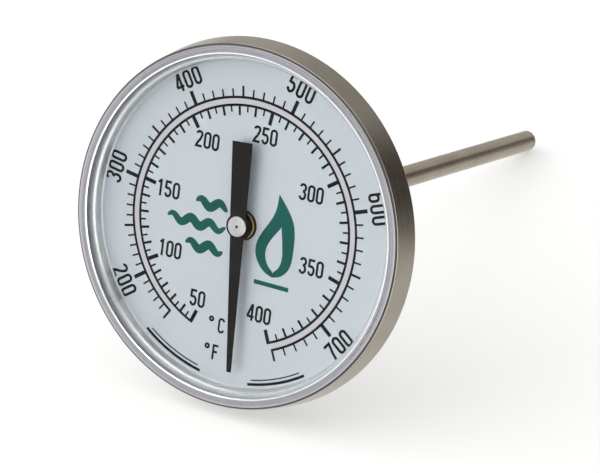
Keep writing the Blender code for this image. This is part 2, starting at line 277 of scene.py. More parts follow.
def out_from_axis(material, x, z):
    """The distance from the stem's axis."""
    square = calculated(material, "ADD", calculated(material, "MULTIPLY", x, x),
                        calculated(material, "MULTIPLY", z, z))
    return calculated(material, "SQRT", square)


def around_axis(material, along_scale, across_scale):
    """Coordinates that run slowly round the Y axis and fast across it, as lathe marks do."""
    x, y, z = object_xyz(material)
    turn = calculated(material, "ARCTAN2", calculated(material, "ABSOLUTE", x), z)
    scaled = {"X": (out_from_axis(material, x, z), across_scale), "Y": (y, across_scale),
              "Z": (turn, along_scale)}
    inputs = {name: calculated(material, "MULTIPLY", *pair) for name, pair in scaled.items()}
    return add(material, "ShaderNodeCombineXYZ", **inputs).outputs[0]


def bump(material, height, strength, distance):
    return add(material, "ShaderNodeBump", Height=height, Strength=strength,
               Distance=distance).outputs["Normal"]


def share_along(material, direction, start, end):
    """0 to 1 between two places: "Y" is along the stem's axis, "R" is out from it."""
    x, y, z = object_xyz(material)
    place = y if direction == "Y" else out_from_axis(material, x, z)
    return remapped(material, place, 0.0, 1.0, start, end)


# Near-white painted highlight for the lip's inner edge.
PAINTED_EDGE_HIGHLIGHT = (0.88, 0.88, 0.88)
# Near-black painted shade for the inside of a drilling.
PAINTED_HOLE_SHADE = (0.02, 0.02, 0.02)


def lathed_metal(name, light, dark, roughness, marks=9000.0, anisotropic=0.0, depth=0.25,
                 face=None, bore=0.0):
    """Metal with fine marks round the axis, uneven polish, and slow drifts of tone.

    A face is the light and dark tone of the lip at the front, if it differs from the rest: partly
    painted reflection, as the lip and the band are one sheet of steel. The lip's inner edge then
    gets a near-white painted highlight. A bore is the radius of a drilling whose inside is painted
    dark as shade.
    """
    material, shader = principled(name, 1.0, roughness, Anisotropic=anisotropic)
    marks_place = around_axis(material, 1.2, marks)
    fine = noise(material, marks_place, 1.0, 2.0)
    drift = noise(material, object_place(material), 140.0, 3.0)
    smudge = noise(material, object_place(material), 900.0, 4.0)
    polish = calculated(material, "ADD", remapped(material, smudge, -0.015, 0.02),
                        remapped(material, fine, roughness - 0.04, roughness + 0.05))
    colour = toned(material, weighted(material, (fine, 0.45), (drift, 0.55)), dark, light)
    if face:
        face_reflection_light, face_reflection_dark = face
        inner_edge = FRONT_RADIUS - LIP_WIDTH
        lip_back = FRONT_Y + LIP_SHEET
        # Painted highlight: the lip's inner edge is coloured near white. Past it comes the lip's
        # own tone, lighter and cooler than the band's as partly painted reflection.
        past_edge_highlight = share_along(material, "R", inner_edge + 0.22 * MM, inner_edge + 0.32 * MM)
        front = blended(material, past_edge_highlight, PAINTED_EDGE_HIGHLIGHT, toned(material, fine, face_reflection_dark, face_reflection_light))
        behind_lip = share_along(material, "Y", lip_back, lip_back + 0.04 * MM)
        colour = blended(material, behind_lip, front, colour)
    if bore:
        # Painted shade: the inside of the drilling is made near black.
        outside = share_along(material, "R", bore, bore + 0.08 * MM)
        colour = blended(material, outside, PAINTED_HOLE_SHADE, colour)
    feed(material, shader, Base_Color=colour, Roughness=polish,
         Normal=bump(material, fine, depth, 0.02 * MM))
    if anisotropic:
        tangent = add(material, "ShaderNodeTangent", {"direction_type": "RADIAL", "axis": "Y"})
        feed(material, shader, Tangent=tangent.outputs[0])
    return material


def drawn_metal(name, light, dark, roughness):
    """Metal drawn along the stem: fine lines lengthwise, with small pits and dull patches."""
    material, shader = principled(name, 1.0, roughness)
    stretched = add(material, "ShaderNodeMapping", Vector=object_place(material),
                    Scale=(9000.0, 160.0, 9000.0)).outputs[0]
    lines = noise(material, stretched, 1.0, 2.0)
    grain = noise(material, object_place(material), 2600.0, 5.0, 0.7)
    drift = noise(material, object_place(material), 90.0, 2.0)
    tone = weighted(material, (lines, 0.3), (grain, 0.4), (drift, 0.3))
    feed(material, shader, Base_Color=toned(material, tone, dark, light),
         Roughness=remapped(material, grain, roughness - 0.05, roughness + 0.08),
         Normal=bump(material, grain, 0.25, 0.03 * MM))
    return material


def matt_coat(name, light, dark, roughness, grain_scale=3000.0, depth=0.15, **fixed):
    """Paint, ink or rubber: a fine grain over a slow drift of tone."""
    material, shader = principled(name, 0.0, roughness, **fixed)
    grain = noise(material, object_place(material), grain_scale, 4.0, 0.6)
    drift = noise(material, object_place(material), 70.0, 3.0)
    tone = weighted(material, (grain, 0.5), (drift, 0.5))
    feed(material, shader, Base_Color=toned(material, tone, dark, light),
         Roughness=remapped(material, grain, roughness - 0.04, roughness + 0.05),
         Normal=bump(material, grain, depth, 0.02 * MM))
    return material


def window_glass():
    """Clear glass with the faintest ripple and smears on its polish."""
    material, shader = principled("window_glass", 0.0, 0.0, Transmission_Weight=1.0, IOR=1.5)
    smear = noise(material, object_place(material), 260.0, 3.0)
    feed(material, shader,
         Base_Color=blended(material, smear, (0.985, 0.992, 0.99), (1.0, 1.0, 1.0)),
         Normal=bump(material, smear, 0.01, 0.01 * MM))
    return material


def dial_coat():
    """Satin silver paint on the dial's flat and its brim, worn thin on the wall between them."""
    material, shader = principled("dial_satin", 0.15, 0.40)
    place = object_place(material)
    grain = noise(material, place, 3000.0, 4.0, 0.6)
    drift = noise(material, place, 70.0, 3.0)
    tone = weighted(material, (grain, 0.5), (drift, 0.5))
    past_flat = share_along(material, "R", DIAL_FLAT + 0.2 * MM, DIAL_FLAT + DIAL_FILLET)
    brim = share_along(material, "R", DIAL_FLAT + 1.05 * MM, DIAL_FLAT + 1.35 * MM)
    wall = calculated(material, "SUBTRACT", past_flat, brim)
    paint = toned(material, tone, (0.635, 0.69, 0.74), (0.665, 0.72, 0.77))
    bare = toned(material, tone, (0.70, 0.71, 0.70), (0.76, 0.77, 0.76))
    feed(material, shader, Base_Color=blended(material, wall, paint, bare),
         Metallic=remapped(material, wall, 0.15, 0.60, 0.0, 1.0),
         Roughness=calculated(material, "ADD", remapped(material, grain, -0.04, 0.05),
                              remapped(material, wall, 0.40, 0.30, 0.0, 1.0)),
         Normal=bump(material, grain, 0.04, 0.02 * MM))
    return material


# The face tones make the lip lighter and cooler than the band: partly painted reflection.
BEZEL_STEEL = lathed_metal("bezel_steel", (0.36, 0.33, 0.28), (0.30, 0.27, 0.225), 0.30,
                           anisotropic=0.3, depth=0.15,
                           face=((0.45, 0.45, 0.47), (0.33, 0.325, 0.345)))
CASE_STEEL = lathed_metal("case_steel", (0.40, 0.37, 0.33), (0.32, 0.29, 0.25), 0.32, 5000.0)
TURNED_STEEL = lathed_metal("turned_steel", (0.50, 0.47, 0.44), (0.38, 0.35, 0.32), 0.28, 6000.0)
CAP_METAL = lathed_metal("cap_metal", (0.98, 0.98, 0.98), (0.58, 0.58, 0.59), 0.46, 4200.0,
                         depth=1.0, bore=0.25 * MM)
BRASS = lathed_metal("brass", (0.40, 0.32, 0.16), (0.20, 0.155, 0.07), 0.34, 6000.0)
STEM_STEEL = drawn_metal("stem_steel", (0.42, 0.365, 0.285), (0.19, 0.16, 0.115), 0.24)
SPRING_STEEL = drawn_metal("spring_steel", (0.46, 0.45, 0.44), (0.30, 0.29, 0.28), 0.36)
SHAFT_STEEL = drawn_metal("shaft_steel", (0.66, 0.66, 0.66), (0.50, 0.50, 0.50), 0.22)
BIMETAL = drawn_metal("bimetal", (0.58, 0.48, 0.34), (0.40, 0.33, 0.24), 0.34)
DIAL_SATIN = dial_coat()
BLACK_INK = matt_coat("black_ink", (0.016, 0.017, 0.018), (0.009, 0.009, 0.010), 0.6,
                      Specular_IOR_Level=0.2)
PALE_INK = matt_coat("pale_ink", (0.66, 0.65, 0.70), (0.62, 0.61, 0.66), 0.5)
GREEN_INK = matt_coat("green_ink", (0.010, 0.135, 0.110), (0.006, 0.105, 0.085), 0.6,
                      Specular_IOR_Level=0.2)
POINTER_PAINT = matt_coat("pointer_paint", (0.016, 0.016, 0.016), (0.009, 0.009, 0.009), 0.55,
                          depth=0.2, Specular_IOR_Level=0.2)
SEAL_RUBBER = matt_coat("seal_rubber", (0.05, 0.05, 0.05), (0.025, 0.025, 0.025), 0.7, 1800.0,
                        depth=0.5)
GLASS = window_glass()


# The head

def band_radius(y, inwards=0.0):
    """Outer radius of the band, which flares evenly from the front to its back edge."""
    crimp_y = BAND_BACK_Y - SHEET
    share = (y - FRONT_Y) / (crimp_y - FRONT_Y)
    return FRONT_RADIUS + share * (HEAD_RADIUS - FRONT_RADIUS) - inwards


def rolled_bezel():
    """The rolled ring: a lip over the glass, a groove, the flared band, and the crimp behind."""
    roll = LIP_SHEET - 0.03 * MM
    crown = 0.03 * MM
    lip_inside = FRONT_RADIUS - LIP_WIDTH
    lip_back = FRONT_Y + LIP_SHEET
    ease = 0.1 * MM
    bead_y = FRONT_Y + GROOVE_DEPTH
    bead = (band_radius(bead_y) + BEAD_PROUD - GROOVE_OUTSIDE) / 2
    corner = 0.4 * MM
    crimp_y = BAND_BACK_Y - SHEET
    crimp_inside = PAN_RADIUS + 1.1 * MM
    crest = (lip_inside + GROOVE_INSIDE) / 2
    reach = GROOVE_INSIDE - ease - crest
    outline = arc(lip_inside + roll, FRONT_Y + crown + roll, roll, -180, -100, 8)
    outline += [(crest + reach * i / 6, FRONT_Y + crown * (i / 6) ** 2) for i in range(-4, 6)]
    outline += arc(GROOVE_INSIDE - ease, FRONT_Y + crown + ease, ease, -80, 0, 4)
    outline += [(GROOVE_INSIDE, bead_y), (GROOVE_OUTSIDE, bead_y)]
    outline += arc(GROOVE_OUTSIDE + bead, FRONT_Y + BEAD_SETBACK + bead, bead, -180, 0)
    outline += arc(HEAD_RADIUS - SHEET, BAND_BACK_Y - SHEET, SHEET, 0, 90)
    outline += arc(crimp_inside + SHEET / 2, crimp_y + SHEET / 2, SHEET / 2, 90, 270, 8)
    outline += [(band_radius(crimp_y, SHEET), crimp_y)]
    outline += [(band_radius(bead_y + corner, SHEET), bead_y + corner)]
    outline += arc(LENS_HIGH.x + 0.15 * MM, lip_back + corner, corner, 0, -90, 4)
    outline += [(lip_inside, lip_back + crown)]
    turned("rolled_bezel", outline, BEZEL_STEEL, "head", ["bezel_ring"], FINE_FACETS)


def edge_seal():
    """Painted shade: a dark rubber fill in the groove between the lip and the band, for its
    shadow.
    """
    sunk = 0.03 * MM
    low, high = FRONT_Y + SHADE_FILL_SETBACK, FRONT_Y + GROOVE_DEPTH + sunk
    inside, outside = GROOVE_INSIDE - sunk, GROOVE_OUTSIDE + sunk
    middle = (inside + outside) / 2
    outline = [(inside, low), (middle, low + sunk), (outside, low), (outside, high),
               (inside, high)]
    turned("edge_seal", outline, SEAL_RUBBER, "head", [], FINE_FACETS)


def glass_window():
    edge = 0.3 * MM
    rim = LENS_HIGH.x - edge
    outline = [(0, LENS_LOW.y)]
    outline += arc(rim, LENS_LOW.y + edge, edge, -90, 0, 5)
    outline += arc(rim, LENS_HIGH.y - edge, edge, 0, 90, 5)
    outline += [(0, LENS_HIGH.y)]
    turned("glass_window", outline, GLASS, "head", ["lens"], FINE_FACETS)


def dished_dial():
    """The pale sheet that carries the scale: flat, with a short wall and a rolled brim."""
    floor_y = DIAL_Y - DIAL_FILLET
    brim_y = DIAL_LOW.y
    roll_r, roll_y = DIAL_FLAT + DIAL_FILLET + DIAL_ROLL, brim_y + DIAL_ROLL
    outline = [(DIAL_HOLE, DIAL_Y)]
    outline += arc(DIAL_FLAT, floor_y, DIAL_FILLET, 90, 0)
    outline += arc(roll_r, roll_y, DIAL_ROLL, 180, 270, 10)
    outline += [(DIAL_HIGH.x, brim_y), (DIAL_HIGH.x, brim_y + DIAL_SHEET)]
    outline += arc(roll_r, roll_y, DIAL_ROLL - DIAL_SHEET, 270, 180)
    outline += arc(DIAL_FLAT, floor_y, DIAL_FILLET + DIAL_SHEET, 0, 90)
    outline += [(DIAL_HOLE, DIAL_HIGH.y)]
    turned("dished_dial", outline, DIAL_SATIN, "head", ["dial_plate"], FINE_FACETS)


def case_pan():
    """The drawn pan behind the bezel, with the middle of its back pressed in."""
    inner = PAN_CORNER - SHEET
    press = 0.35 * MM
    ledge = RECESS_RADIUS + 0.6 * MM
    flange_y = CASE_LOW.y
    outline = [(CASE_HIGH.x, flange_y), (CASE_HIGH.x, flange_y + SHEET)]
    outline += arc(PAN_RADIUS + press, flange_y + SHEET + press, press, 270, 180, 4)
    outline += arc(PAN_RADIUS - PAN_CORNER, -PAN_CORNER, PAN_CORNER, 0, 90, 12)
    outline += arc(ledge + press, -press, press, 90, 135, 4)
    outline += arc(RECESS_RADIUS - press / 2, press - RECESS_DEPTH, press, -45, -90, 4)
    outline += [(BACK_HOLE, -RECESS_DEPTH), (BACK_HOLE, -RECESS_DEPTH - SHEET),
                (RECESS_RADIUS, -RECESS_DEPTH - SHEET), (ledge, -SHEET)]
    outline += arc(PAN_RADIUS - PAN_CORNER, -PAN_CORNER, inner, 90, 0, 8)
    outline += [(PAN_RADIUS - SHEET, flange_y)]
    turned("case_pan", outline, CASE_STEEL, "head", ["case_shell"], FINE_FACETS)


# The stem

def turned_neck():
    """The neck, grooved for its clip, with an eased end where the tube comes out."""
    radius = NECK_HIGH.x
    groove = radius - 0.5 * MM
    ease = 0.25 * MM
    bore = 1.6 * MM
    socket = STEM_RADIUS + 0.05 * MM
    clip_low, clip_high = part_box("retaining_clip")
    gap = 0.2 * MM
    outline = [(bore, NECK_LOW.y), (radius - gap, NECK_LOW.y), (radius, NECK_LOW.y + gap),
               (radius, clip_low.y - gap), (groove, clip_low.y - gap),
               (groove, clip_high.y + gap), (radius, clip_high.y + gap)]
    outline += arc(radius - ease, NECK_HIGH.y - ease, ease, 0, 90, 5)
    outline += [(socket, NECK_HIGH.y), (socket, TUBE_LOW.y - gap), (bore, TUBE_LOW.y - gap)]
    turned("turned_neck", outline, TURNED_STEEL, "stem", ["stem_neck"])


def drawn_tube():
    inside = 2.0 * MM
    outline = [(inside, TUBE_LOW.y), (STEM_RADIUS, TUBE_LOW.y), (STEM_RADIUS, TUBE_HIGH.y),
               (inside, TUBE_HIGH.y)]
    turned("drawn_tube", outline, STEM_STEEL, "stem", ["stem_tube"])


def welded_tip():
    """The plug in the tube's end: a fine weld line, then a full round nose."""
    shoulder = TUBE_HIGH.y + 0.05 * MM
    inside = 1.8 * MM
    outline = [(0, PLUG_LOW.y), (inside, PLUG_LOW.y), (inside, shoulder),
               (STEM_RADIUS - 0.04 * MM, shoulder), (STEM_RADIUS, shoulder + 0.06 * MM)]
    outline += arc(STEM_RADIUS - TIP_NOSE, PLUG_HIGH.y - TIP_NOSE, TIP_NOSE, 0, 90, 10)
    outline += [(0, PLUG_HIGH.y)]
    turned("welded_tip", outline, STEM_STEEL, "stem", ["tip_plug"])


def rubber_washer():
    bead = 0.35 * MM
    inside = NECK_HIGH.x + 0.05 * MM
    outline = [(inside, WASHER_LOW.y)]
    outline += arc(WASHER_HIGH.x - bead, WASHER_LOW.y + bead, bead, -90, 0, 5)
    outline += arc(WASHER_HIGH.x - bead, WASHER_HIGH.y - bead, bead, 0, 90, 5)
    outline += [(inside, WASHER_HIGH.y)]
    turned("rubber_washer", outline, SEAL_RUBBER, "stem", ["seal_washer"])


def hexagon_nut():
    """A hexagon with its corners turned off at both ends, and a bore with eased edges."""
    flat = NUT_HIGH.x
    corner = NUT_HIGH.z
    bore = NECK_HIGH.x + 0.05 * MM
    ease = 0.25 * MM
    corner_loss = 0.12 * MM
    face = flat - 0.15 * MM
    slope = math.tan(math.radians(28))
    count = 120
    low, high = NUT_LOW.y, NUT_HIGH.y
    mesh_edit = bmesh.new()

    def side(angle):
        """Distance from the axis to the hexagon's side, whose corners lie on the Z axis."""
        off_flat = angle % (math.pi / 3) - math.pi / 6
        return min(flat / math.cos(off_flat), corner - corner_loss)

    columns = []
    for i in range(count):
        angle = 2 * math.pi * i / count
        reach = side(angle)
        drop = (reach - face) * slope
        profile = [(bore, low + ease), (bore + ease, low), (face, low), (reach, low + drop),
                   (reach, high - drop), (face, high), (bore + ease, high), (bore, high - ease)]
        columns.append([mesh_edit.verts.new((r * math.sin(angle), y, r * math.cos(angle)))
                        for r, y in profile])
    for here, there in zip(columns, columns[1:] + columns[:1]):
        for k in range(len(here)):
            after = (k + 1) % len(here)
            mesh_edit.faces.new((here[k], here[after], there[after], there[k]))
    finished("hexagon_nut", mesh_edit, TURNED_STEEL, "stem", ["calibration_nut"])


def brass_bearing():
    """The brass bearing whose head stands in the hole in the dial."""
    radius = BEARING_HIGH.x
    ease = 0.2 * MM
    shank = 1.4 * MM
    under = NECK_LOW.y - 0.2 * MM
    outline = [(SHAFT_BORE, BEARING_LOW.y)]
    outline += arc(radius - ease, BEARING_LOW.y + ease, ease, -90, 0, 5)
    outline += [(radius, under), (shank, under), (shank, BEARING_HIGH.y),
                (SHAFT_BORE, BEARING_HIGH.y)]
    turned("brass_bearing", outline, BRASS, "stem", ["top_bearing"])


# The pointer

def brass_hub():
    """The brass collar under the blade, eased at both ends."""
    radius = COLLAR_HIGH.x
    ease = 0.15 * MM
    outline = [(SHAFT_BORE, COLLAR_LOW.y)]
    outline += arc(radius - ease, COLLAR_LOW.y + ease, ease, -90, 0, 4)
    outline += arc(radius - ease, COLLAR_HIGH.y - ease, ease, 0, 90, 4)
    outline += [(SHAFT_BORE, COLLAR_HIGH.y)]
    turned("brass_hub", outline, BRASS, "pointer", ["pointer_collar"])


def pointer_outline(inset):
    """Clockwise (x, z) outline of the blade with its tip at +Z, drawn in by the inset."""
    tip, tail = 30.3 * MM, 17.3 * MM
    hub = 2.6 * MM - inset
    tip_half, arm, neck, tail_half = (w * MM / 2 - inset for w in (1.0, 3.1, 3.6, 4.6))
    steps = 14
    first = math.asin(arm / hub)
    last = math.pi - math.asin(neck / hub)
    right = [(tip_half, tip - inset)]
    right += [(hub * math.sin(first + (last - first) * i / steps),
               hub * math.cos(first + (last - first) * i / steps)) for i in range(steps + 1)]
    right += [(tail_half, inset - tail)]
    return right + [(-x, z) for x, z in reversed(right)]


def turned_about_axis(points, angle):
    """The (x, z) points turned clockwise on the dial by the angle in degrees."""
    a = math.radians(angle)
    return [(x * math.cos(a) + z * math.sin(a), z * math.cos(a) - x * math.sin(a))
            for x, z in points]


def pointer_blade():
    """The black blade: a flat stamping with eased edges, tip down at rest."""
    ease = 0.07 * MM
    levels = [(BLADE_HIGH.y, ease), (BLADE_HIGH.y - ease, 0.0), (BLADE_LOW.y + ease, 0.0),
              (BLADE_LOW.y, ease)]
    mesh_edit = bmesh.new()
    loops = [[mesh_edit.verts.new((x, y, z))
              for x, z in turned_about_axis(pointer_outline(inset), POINTER_REST_DEGREES)]
             for y, inset in levels]
    for here, there in zip(loops, loops[1:]):
        for k in range(len(here)):
            after = (k + 1) % len(here)
            mesh_edit.faces.new((here[k], here[after], there[after], there[k]))
    mesh_edit.faces.new(loops[0])
    mesh_edit.faces.new(loops[-1])
    finished("pointer_blade", mesh_edit, POINTER_PAINT, "pointer", ["pointer"])


def turned_cap():
    """The bright cap on the pointer's hub, with a turned groove and a centre drilling."""
    radius = CAP_HIGH.x
    top = CAP_LOW.y
    ease = 0.22 * MM
    drill, depth = 0.3 * MM, 0.6 * MM
    outline = [(0, top + depth), (drill * 0.75, top + depth * 0.9), (drill, top + 0.06 * MM),
               (drill + 0.08 * MM, top + 0.02 * MM), (radius * 0.62, top + 0.01 * MM),
               (radius * 0.67, top + 0.10 * MM), (radius * 0.72, top + 0.01 * MM)]
    outline += arc(radius - ease, top + ease, ease, -90, 0, 6)
    outline += [(radius, CAP_HIGH.y), (0, CAP_HIGH.y)]
    turned("turned_cap", outline, CAP_METAL, "pointer", ["pointer_cap"])


# Print on the dial

def scale_angle(fahrenheit):
    """Where a temperature is printed: the scale opens out slightly towards its hot end."""
    share = (fahrenheit - SCALE_MIDDLE) / SCALE_HALF
    return sum(factor * share ** power for power, factor in enumerate(SCALE_CUBIC))


def celsius_angle(celsius):
    return scale_angle(1.8 * celsius + 32)


def polar(radius, angle):
    return (radius * math.sin(math.radians(angle)), radius * math.cos(math.radians(angle)))


def edges_of(points, widths, closed=False):
    """(left, right) edge points of a stroke along (x, z) points, mitred at its corners."""
    pairs = []
    last = len(points) - 1
    for i, (x, z) in enumerate(points):
        before = points[i - 1] if i or closed else points[i]
        after = points[(i + 1) % len(points)] if i < last or closed else points[i]
        sides = []
        for a, b in ((before, (x, z)), ((x, z), after)):
            length = math.hypot(b[0] - a[0], b[1] - a[1])
            if length > 1e-9:
                sides.append(((a[1] - b[1]) / length, (b[0] - a[0]) / length))
        nx = sum(s[0] for s in sides)
        nz = sum(s[1] for s in sides)
        size = math.hypot(nx, nz)
        nx, nz = nx / size, nz / size
        spread = widths[i] / 2 / max(nx * sides[0][0] + nz * sides[0][1], 0.5)
        pairs.append(((x + nx * spread, z + nz * spread), (x - nx * spread, z - nz * spread)))
    return pairs


class Print:
    """Ink on the dial: strokes and bands as thin closed solids, sunk slightly into the sheet."""

    def __init__(self):
        self.mesh_edit = bmesh.new()
        self.count = 0

    def band(self, pairs, closed=False):
        """A solid between the left and right points of each pair."""
        top = DIAL_Y - INK - INK_STEP * (self.count % 4)
        bottom = DIAL_Y + INK / 2
        self.count += 1
        new = self.mesh_edit.verts.new
        rows = [[new((p[0] * F_RADIUS, y, p[1] * F_RADIUS))
                 for p, y in ((left, top), (right, top), (right, bottom), (left, bottom))]
                for left, right in pairs]
        for here, there in zip(rows, rows[1:] + rows[:1] if closed else rows[1:]):
            for k in range(4):
                after = (k + 1) % 4
                self.mesh_edit.faces.new((here[k], here[after], there[after], there[k]))
        if not closed:
            self.mesh_edit.faces.new(rows[0])
            self.mesh_edit.faces.new(reversed(rows[-1]))

    def stroke(self, points, width, closed=False):
        self.band(edges_of(points, [width] * len(points), closed), closed)

    def finish(self, name, material):
        return finished(name, self.mesh_edit, material, "head")


def ellipse(cx, cz, rx, rz, start, end, steps=14):
    """Points from one angle to another, anticlockwise from +x when the end is the larger."""
    angles = [math.radians(start + (end - start) * i / steps) for i in range(steps + 1)]
    return [(cx + rx * math.cos(a), cz + rz * math.sin(a)) for a in angles]


# Centre lines of the digits, one unit high, about x = 0: a list of (points, closed).
STROKE = 0.145
REACH = 0.17
TOP = 1 - STROKE / 2
BOTTOM = STROKE / 2


def round_loop(low, high):
    """A narrow loop with half-round ends, as in 0 and 6."""
    return (ellipse(0, high - REACH, REACH, REACH, 0, 180, 12)
            + ellipse(0, low + REACH, REACH, REACH, 180, 360, 12))


GLYPHS = {
    "0": [(round_loop(BOTTOM, TOP), True)],
    "1": [([(0.05, 0.0), (0.05, 1.0)], False), ([(-0.13, 0.78), (0.02, 0.90)], False)],
    "2": [(ellipse(0, TOP - REACH, REACH, REACH, 170, -25, 12)
           + [(0.06, 0.46), (-0.10, 0.24), (-REACH, BOTTOM), (REACH + 0.05, BOTTOM)], False)],
    "3": [(ellipse(0, 0.73, REACH, TOP - 0.73, 165, -90, 12), False),
          (ellipse(-0.01, 0.30, REACH + 0.01, 0.30 - BOTTOM, 90, -165, 14), False)],
    "4": [([(0.10, 0.0), (0.10, 1.0)], False), ([(0.08, 0.97), (-0.19, 0.27)], False),
          ([(-0.22, 0.25), (0.24, 0.25)], False)],
    "5": [([(REACH + 0.03, TOP), (-REACH + 0.03, TOP), (-REACH + 0.01, 0.50)], False),
          (ellipse(0, 0.32, REACH, 0.32 - BOTTOM, 130, -165, 16), False)],
    "6": [(round_loop(BOTTOM, 0.60), True),
          (ellipse(0, TOP - REACH, REACH, REACH, 15, 180, 10) + [(-REACH, 0.26)], False)],
    "7": [([(-REACH - 0.04, TOP), (REACH + 0.01, TOP), (0.02, 0.42), (-0.05, 0.0)], False)],
    "C": [(ellipse(0, TOP - REACH, REACH, REACH, 5, 180, 12)
           + ellipse(0, BOTTOM + REACH, REACH, REACH, 180, 355, 12), False)],
    "F": [([(-REACH, 0.0), (-REACH, TOP), (REACH, TOP)], False),
          ([(-REACH, 0.52), (REACH * 0.7, 0.52)], False)],
    "o": [(ellipse(0, 0.80, 0.12, 0.12, 0, 345, 23), True)],
}


def placed(points, centre, size, turn, offset, pitch):
    """Glyph points scaled to the size, moved along the word and set on the dial."""
    word = [(x * size + offset * pitch, (z - 0.5) * size) for x, z in points]
    return [(centre[0] + x, centre[1] + z) for x, z in turned_about_axis(word, turn)]


def write(ink, text, centre, size, pitch, turn=0.0):
    """Prints a word centred on a point, turned clockwise by the angle in degrees."""
    for i, letter in enumerate(text):
        offset = i - (len(text) - 1) / 2
        for points, closed in GLYPHS[letter]:
            ink.stroke(placed(points, centre, size, turn, offset, pitch), STROKE * size, closed)


def dial_ring(ink, radius, width, start, end):
    steps = int((end - start) / RING_STEP_DEGREES)
    ink.stroke([polar(radius, start + (end - start) * i / steps) for i in range(steps + 1)],
               width)


def ticks(ink, angle_of, values, inner, ends, widths, kind_of):
    """Marks from a ring outwards or inwards, whose end and width go by the kind of value."""
    for value in values:
        kind = kind_of(value)
        angle = angle_of(value)
        ink.stroke([polar(inner, angle), polar(ends[kind], angle)], widths[kind])


def fahrenheit_scale():
    ink = Print()
    low, high = (scale_angle(t) for t in F_RANGE)
    edge = math.degrees(TICK / 2)
    dial_ring(ink, 1.0, LINE, low - edge, high + edge)
    ticks(ink, scale_angle, range(F_RANGE[0], F_RANGE[1] + 1, 10), 1.0,
          {"minor": 1.067, "medium": 1.090, "major": 1.117},
          {"minor": TICK, "medium": 0.019, "major": MAJOR_TICK},
          lambda t: "major" if t % 100 == 0 else "medium" if t % 50 == 0 else "minor")
    for degrees, angle, turn in ((200, -124.6, 180), (300, -80.5, 0), (400, -32.3, 0),
                                 (500, 17.1, 0), (600, 71.0, 0), (700, 127.1, 180)):
        write(ink, str(degrees), polar(1.215, angle), 0.15, 0.088, angle + turn)
    ink.finish("fahrenheit_print", BLACK_INK)


def celsius_scale():
    ink = Print()
    low, high = (celsius_angle(t) for t in C_RANGE)
    edge = math.degrees(MAJOR_TICK / 2)
    dial_ring(ink, C_RING, LINE, low - edge, high + edge)
    ticks(ink, celsius_angle, range(C_RANGE[0], C_RANGE[1] + 1, 5), C_RING,
          {"minor": 0.885, "medium": 0.860, "major": 0.834},
          {"minor": TICK, "medium": LINE, "major": MAJOR_TICK},
          lambda t: "major" if t % 50 == 0 else "medium" if t % 10 == 0 else "minor")
    places = {50: (-0.32, -0.676), 100: (-0.624, -0.344), 150: (-0.704, 0.126),
              200: (-0.406, 0.586), 250: (0.098, 0.734), 300: (0.56, 0.38),
              350: (0.644, -0.19), 400: (0.242, -0.666)}
    for degrees, centre in places.items():
        write(ink, str(degrees), centre, 0.136, 0.075)
    ink.finish("celsius_print", BLACK_INK)


def pale_ring():
    """The lighter band printed between the two rings."""
    ink = Print()
    dial_ring(ink, 0.9695, 0.039, scale_angle(F_RANGE[0]), scale_angle(F_RANGE[1]))
    ink.finish("pale_ring_print", PALE_INK)


def unit_marks():
    """The degree signs and the unit letters above 6 o'clock."""
    ink = Print()
    write(ink, "oC", (-0.124, -0.84), 0.125, 0.094)
    write(ink, "oF", (-0.140, -1.064), 0.125, 0.080)
    ink.finish("unit_print", BLACK_INK)


def heat_waves():
    """Three wavy green strokes that taper at their ends, left of the hub."""
    ink = Print()
    end = -0.15
    steps = 40
    swing, wavelength = 0.026, 0.17
    thinnest, swell = 0.012, 0.062
    for start, height in ((-0.44, 0.095), (-0.68, -0.075), (-0.49, -0.255)):
        points, widths = [], []
        for i in range(steps + 1):
            share = i / steps
            x = start + (end - start) * share
            phase = 2 * math.pi * (x - start) / wavelength
            points.append((x, height + swing * math.sin(phase)))
            widths.append(thinnest + swell * math.sin(math.pi * share) ** 0.5)
        ink.band(edges_of(points, widths))
    ink.finish("heat_wave_print", GREEN_INK)


def flame_sides(foot, width, height, lean, bare_width, bare_height):
    """Left and right halves of a flame round a bare middle, as bands from foot to tip.

    The bare middle starts a little above the foot.
    """
    steps = 40
    bare_from = 0.07
    tip_width = 0.002
    halves = {-1: [], 1: []}
    for i in range(steps + 1):
        share = i / steps
        middle = foot[0] + lean * math.sin(2.2 * math.pi * share) * share
        half = width * math.sin(math.pi * share ** 0.6)
        up = (share - bare_from) * height / bare_height
        bare = bare_width * math.sin(math.pi * up ** 0.7) if 0 < up < 1 else 0.0
        for side, band in halves.items():
            inner = (middle + side * min(bare, half), foot[1] + height * share)
            outer = (middle + side * (half + tip_width), foot[1] + height * share)
            band.append((outer, inner) if side > 0 else (inner, outer))
    return halves.values()


def flame_mark():
    """A plain green flame with a bare middle over a short line, right of the hub."""
    ink = Print()
    for half in flame_sides((0.315, -0.35), 0.165, 0.66, -0.045, 0.075, 0.36):
        ink.band(half)
    ink.stroke([(0.16, -0.415), (0.47, -0.415)], 0.035)
    ink.finish("flame_print", GREEN_INK)


def foot_ornament():
    """A plain broken line along the dial's lower edge."""
    ink = Print()
    for start, end in ((146, 170), (190, 216)):
        dial_ring(ink, 1.262, 0.022, start, end)
        dial_ring(ink, 1.228, 0.010, start + 1.5, end - 1.5)
    ink.finish("foot_ornament_print", BLACK_INK)


# Carried-over CAD nodes

def dress_cad_nodes():
    """Gives each CAD node that stays in view, or inside the pieces, its own material."""
    looks = {"lens_gasket": SEAL_RUBBER, "case_bushing": BRASS, "friction_washer": SPRING_STEEL,
             "retaining_clip": SPRING_STEEL, "upper_guide": BRASS, "middle_guide": BRASS,
             "lower_guide": BRASS, "bimetal_coil": BIMETAL, "coil_anchor": BRASS,
             "pointer_shaft": SHAFT_STEEL, "coil_collar": BRASS}
    for node, material in looks.items():
        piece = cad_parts[node]
        piece.data.materials.clear()
        piece.data.materials.append(material)


# Stage, light and camera

